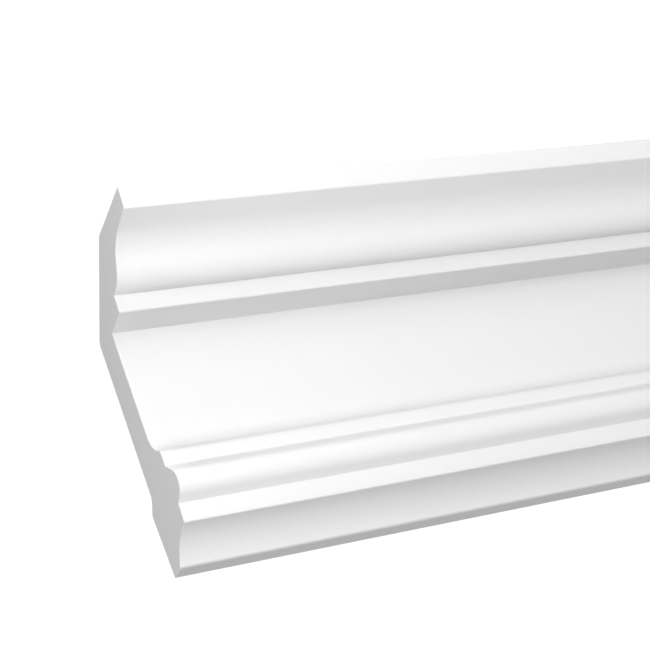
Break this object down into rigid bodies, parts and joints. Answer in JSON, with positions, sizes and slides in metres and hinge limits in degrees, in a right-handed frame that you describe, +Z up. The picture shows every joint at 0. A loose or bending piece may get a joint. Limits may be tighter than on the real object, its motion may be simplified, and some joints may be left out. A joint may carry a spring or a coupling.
{
  "type": "crown moulding length",
  "caption": "Straight length of white crown moulding: ogee over a step and soffit, flat frieze, cove, band, bead and foot cove, cut square at both ends.",
  "frame": {"origin": "centre of the flat face that lies on the wall, at mid-length", "axes": "as installed: +X along the length, +Y into the wall, +Z up to the ceiling; the moulded face looks toward -Y and -Z"},
  "size_m": [1, 0.0876, 0.1501],
  "materials": {
    "white_primer": "smooth sprayed matt white primer on moulded rigid foam, sawn square at the ends"
  },
  "bodies": {
    "root": {"crown_moulding": "white_primer"}
  },
  "joints": []
}
